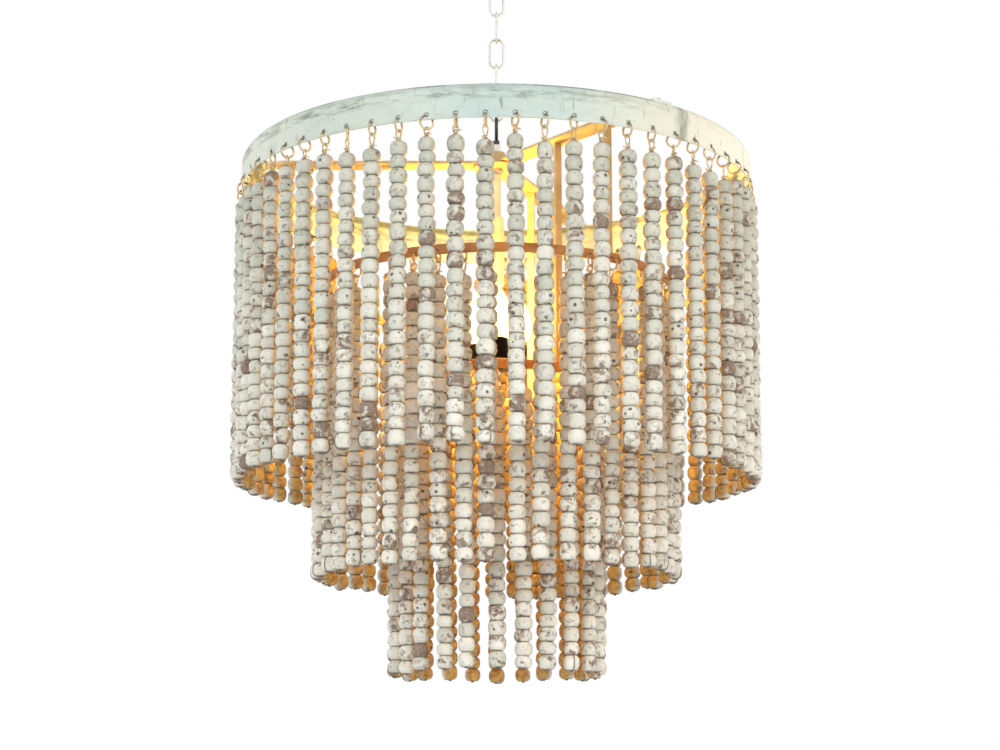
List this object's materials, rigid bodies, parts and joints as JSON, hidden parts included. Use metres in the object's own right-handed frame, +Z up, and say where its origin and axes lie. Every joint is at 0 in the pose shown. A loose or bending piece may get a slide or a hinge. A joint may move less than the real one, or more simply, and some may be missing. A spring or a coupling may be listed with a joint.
{
  "type": "beaded chandelier",
  "caption": "Round tiered chandelier: a painted hoop and two rings carry curtains of wooden bead strands round a candle-bulb cluster, hung on a chain from a ceiling canopy.",
  "frame": {"origin": "on the ceiling, at the middle of the canopy and of its bracket", "axes": "+Z up into the ceiling; -Y is the front, as pictured; +X is to the right of it"},
  "size_m": [0.5572, 0.5572, 0.8025],
  "materials": {
    "steel": "zinc-plated, satin",
    "stem_metal": "pale cream paint, satin",
    "chain_paint": "whitewashed",
    "black_iron": "satin black",
    "lamp_holder": "moulded black, matte",
    "bulb_metal": "plain",
    "bulb_glass": "clear, lit from inside",
    "hoop_paint": "distressed pale blue-green limewash over grey",
    "frame_iron": "antique gold, satin",
    "bead_wood": "whitewashed, distressed, matte"
  },
  "bodies": {
    "ceiling_mount": {"canopy_bracket": "steel", "canopy": "chain_paint", "canopy_nut": "chain_paint"},
    "ceiling_loop": {"canopy_loop": "chain_paint"},
    "link_1": {"chain_link_1": "chain_paint"},
    "link_2": {"chain_link_2": "chain_paint"},
    "link_3": {"chain_link_3": "chain_paint"},
    "link_4": {"chain_link_4": "chain_paint"},
    "link_5": {"chain_link_5": "chain_paint"},
    "fixture": {"fixture_eye": "black_iron", "eye_nut": "chain_paint", "hub": "frame_iron", "hub_nut": "steel", "spider_arm_1": "frame_iron", "spider_arm_2": "frame_iron", "spider_arm_3": "frame_iron", "rim_screw_1": "steel", "rim_screw_2": "steel", "rim_screw_3": "steel", "hoop": "hoop_paint", "mid_drop_1": "frame_iron", "mid_drop_2": "frame_iron", "mid_drop_3": "frame_iron", "inner_drop_1": "frame_iron", "inner_drop_2": "frame_iron", "inner_drop_3": "frame_iron", "mid_ring": "frame_iron", "inner_ring": "frame_iron", "stem": "stem_metal", "stem_sleeve": "stem_metal", "stem_nut": "black_iron", "cluster_plate": "black_iron", "socket_1": "lamp_holder", "socket_2": "lamp_holder", "socket_3": "lamp_holder"},
    "lamp_1": {"bulb_base_1": "bulb_metal", "bulb_glass_1": "bulb_glass"},
    "lamp_2": {"bulb_base_2": "bulb_metal", "bulb_glass_2": "bulb_glass"},
    "lamp_3": {"bulb_base_3": "bulb_metal", "bulb_glass_3": "bulb_glass"},
    "outer_curtain_01": {"outer_strands_01": "bead_wood"},
    "outer_curtain_02": {"outer_strands_02": "bead_wood"},
    "outer_curtain_03": {"outer_strands_03": "bead_wood"},
    "outer_curtain_04": {"outer_strands_04": "bead_wood"},
    "outer_curtain_05": {"outer_strands_05": "bead_wood"},
    "outer_curtain_06": {"outer_strands_06": "bead_wood"},
    "outer_curtain_07": {"outer_strands_07": "bead_wood"},
    "outer_curtain_08": {"outer_strands_08": "bead_wood"},
    "outer_curtain_09": {"outer_strands_09": "bead_wood"},
    "outer_curtain_10": {"outer_strands_10": "bead_wood"},
    "mid_curtain_1": {"mid_strands_1": "bead_wood"},
    "mid_curtain_2": {"mid_strands_2": "bead_wood"},
    "mid_curtain_3": {"mid_strands_3": "bead_wood"},
    "mid_curtain_4": {"mid_strands_4": "bead_wood"},
    "mid_curtain_5": {"mid_strands_5": "bead_wood"},
    "inner_curtain_1": {"inner_strands_1": "bead_wood"},
    "inner_curtain_2": {"inner_strands_2": "bead_wood"},
    "inner_curtain_3": {"inner_strands_3": "bead_wood"},
    "inner_curtain_4": {"inner_strands_4": "bead_wood"}
  },
  "joints": [
    {"name": "loop_swivel", "type": "hinge", "parent": "ceiling_mount", "child": "ceiling_loop", "pos_m": [0, 0, -0.0461], "axis": [0, 0, 1], "range_deg": [-90, 90]},
    {"name": "link_1_swing", "type": "hinge", "parent": "ceiling_loop", "child": "link_1", "pos_m": [0, 0, -0.0551], "axis": [0, 1, 0], "range_deg": [-10, 10]},
    {"name": "link_2_swing", "type": "hinge", "parent": "link_1", "child": "link_2", "pos_m": [0, 0, -0.0843], "axis": [1, 0, 0], "range_deg": [-10, 10]},
    {"name": "link_3_swing", "type": "hinge", "parent": "link_2", "child": "link_3", "pos_m": [0, 0, -0.1142], "axis": [0, 1, 0], "range_deg": [-10, 10]},
    {"name": "link_4_swing", "type": "hinge", "parent": "link_3", "child": "link_4", "pos_m": [0, 0, -0.1441], "axis": [1, 0, 0], "range_deg": [-10, 10]},
    {"name": "link_5_swing", "type": "hinge", "parent": "link_4", "child": "link_5", "pos_m": [0, 0, -0.174], "axis": [0, 1, 0], "range_deg": [-10, 10]},
    {"name": "fixture_swing", "type": "hinge", "parent": "link_5", "child": "fixture", "pos_m": [0, 0, -0.2039], "axis": [1, 0, 0], "range_deg": [-10, 10]},
    {"name": "lamp_1_turn", "type": "hinge", "parent": "fixture", "child": "lamp_1", "pos_m": [0, -0.0235, -0.448], "axis": [0, 0, 1], "continuous": true},
    {"name": "lamp_2_turn", "type": "hinge", "parent": "fixture", "child": "lamp_2", "pos_m": [0.02035, 0.01175, -0.448], "axis": [0, 0, 1], "continuous": true},
    {"name": "lamp_3_turn", "type": "hinge", "parent": "fixture", "child": "lamp_3", "pos_m": [-0.02035, 0.01175, -0.448], "axis": [0, 0, 1], "continuous": true},
    {"name": "outer_curtain_01_swing", "type": "hinge", "parent": "fixture", "child": "outer_curtain_01", "pos_m": [0.08602, -0.25268, -0.28662], "axis": [-0.9466, -0.3223, 0], "range_deg": [-2.5, 20]},
    {"name": "outer_curtain_02_swing", "type": "hinge", "parent": "fixture", "child": "outer_curtain_02", "pos_m": [0.21812, -0.15386, -0.28662], "axis": [-0.5764, -0.8171, 0], "range_deg": [-2.5, 20]},
    {"name": "outer_curtain_03_swing", "type": "hinge", "parent": "fixture", "child": "outer_curtain_03", "pos_m": [0.2669, 0.00373, -0.28662], "axis": [0.014, -0.9999, 0], "range_deg": [-2.5, 20]},
    {"name": "outer_curtain_04_swing", "type": "hinge", "parent": "fixture", "child": "outer_curtain_04", "pos_m": [0.21373, 0.15989, -0.28662], "axis": [0.599, -0.8007, 0], "range_deg": [-2.5, 20]},
    {"name": "outer_curtain_05_swing", "type": "hinge", "parent": "fixture", "child": "outer_curtain_05", "pos_m": [0.07893, 0.25499, -0.28662], "axis": [0.9553, -0.2957, 0], "range_deg": [-2.5, 20]},
    {"name": "outer_curtain_06_swing", "type": "hinge", "parent": "fixture", "child": "outer_curtain_06", "pos_m": [-0.08602, 0.25268, -0.28662], "axis": [0.9466, 0.3223, 0], "range_deg": [-2.5, 20]},
    {"name": "outer_curtain_07_swing", "type": "hinge", "parent": "fixture", "child": "outer_curtain_07", "pos_m": [-0.21812, 0.15386, -0.28662], "axis": [0.5764, 0.8171, 0], "range_deg": [-2.5, 20]},
    {"name": "outer_curtain_08_swing", "type": "hinge", "parent": "fixture", "child": "outer_curtain_08", "pos_m": [-0.2669, -0.00373, -0.28662], "axis": [-0.014, 0.9999, 0], "range_deg": [-2.5, 20]},
    {"name": "outer_curtain_09_swing", "type": "hinge", "parent": "fixture", "child": "outer_curtain_09", "pos_m": [-0.21373, -0.15989, -0.28662], "axis": [-0.599, 0.8007, 0], "range_deg": [-2.5, 20]},
    {"name": "outer_curtain_10_swing", "type": "hinge", "parent": "fixture", "child": "outer_curtain_10", "pos_m": [-0.07893, -0.25499, -0.28662], "axis": [-0.9553, 0.2957, 0], "range_deg": [-2.5, 20]},
    {"name": "mid_curtain_1_swing", "type": "hinge", "parent": "fixture", "child": "mid_curtain_1", "pos_m": [0.10377, -0.13282, -0.39422], "axis": [-0.788, -0.6157, 0], "range_deg": [-1, 15]},
    {"name": "mid_curtain_2_swing", "type": "hinge", "parent": "fixture", "child": "mid_curtain_2", "pos_m": [0.15838, 0.05765, -0.39422], "axis": [0.342, -0.9397, 0], "range_deg": [-1, 15]},
    {"name": "mid_curtain_3_swing", "type": "hinge", "parent": "fixture", "child": "mid_curtain_3", "pos_m": [-0.00588, 0.16845, -0.39422], "axis": [0.9994, 0.0349, 0], "range_deg": [-1, 15]},
    {"name": "mid_curtain_4_swing", "type": "hinge", "parent": "fixture", "child": "mid_curtain_4", "pos_m": [-0.16202, 0.04646, -0.39422], "axis": [0.2756, 0.9613, 0], "range_deg": [-1, 15]},
    {"name": "mid_curtain_5_swing", "type": "hinge", "parent": "fixture", "child": "mid_curtain_5", "pos_m": [-0.09425, -0.13973, -0.39422], "axis": [-0.829, 0.5592, 0], "range_deg": [-1, 15]},
    {"name": "inner_curtain_1_swing", "type": "hinge", "parent": "fixture", "child": "inner_curtain_1", "pos_m": [0.05962, -0.07769, -0.49322], "axis": [-0.7934, -0.6088, 0], "range_deg": [-1, 13]},
    {"name": "inner_curtain_2_swing", "type": "hinge", "parent": "fixture", "child": "inner_curtain_2", "pos_m": [0.07769, 0.05962, -0.49322], "axis": [0.6088, -0.7934, 0], "range_deg": [-1, 13]},
    {"name": "inner_curtain_3_swing", "type": "hinge", "parent": "fixture", "child": "inner_curtain_3", "pos_m": [-0.05962, 0.07769, -0.49322], "axis": [0.7934, 0.6088, 0], "range_deg": [-1, 13]},
    {"name": "inner_curtain_4_swing", "type": "hinge", "parent": "fixture", "child": "inner_curtain_4", "pos_m": [-0.07769, -0.05962, -0.49322], "axis": [-0.6088, 0.7934, 0], "range_deg": [-1, 13]}
  ]
}
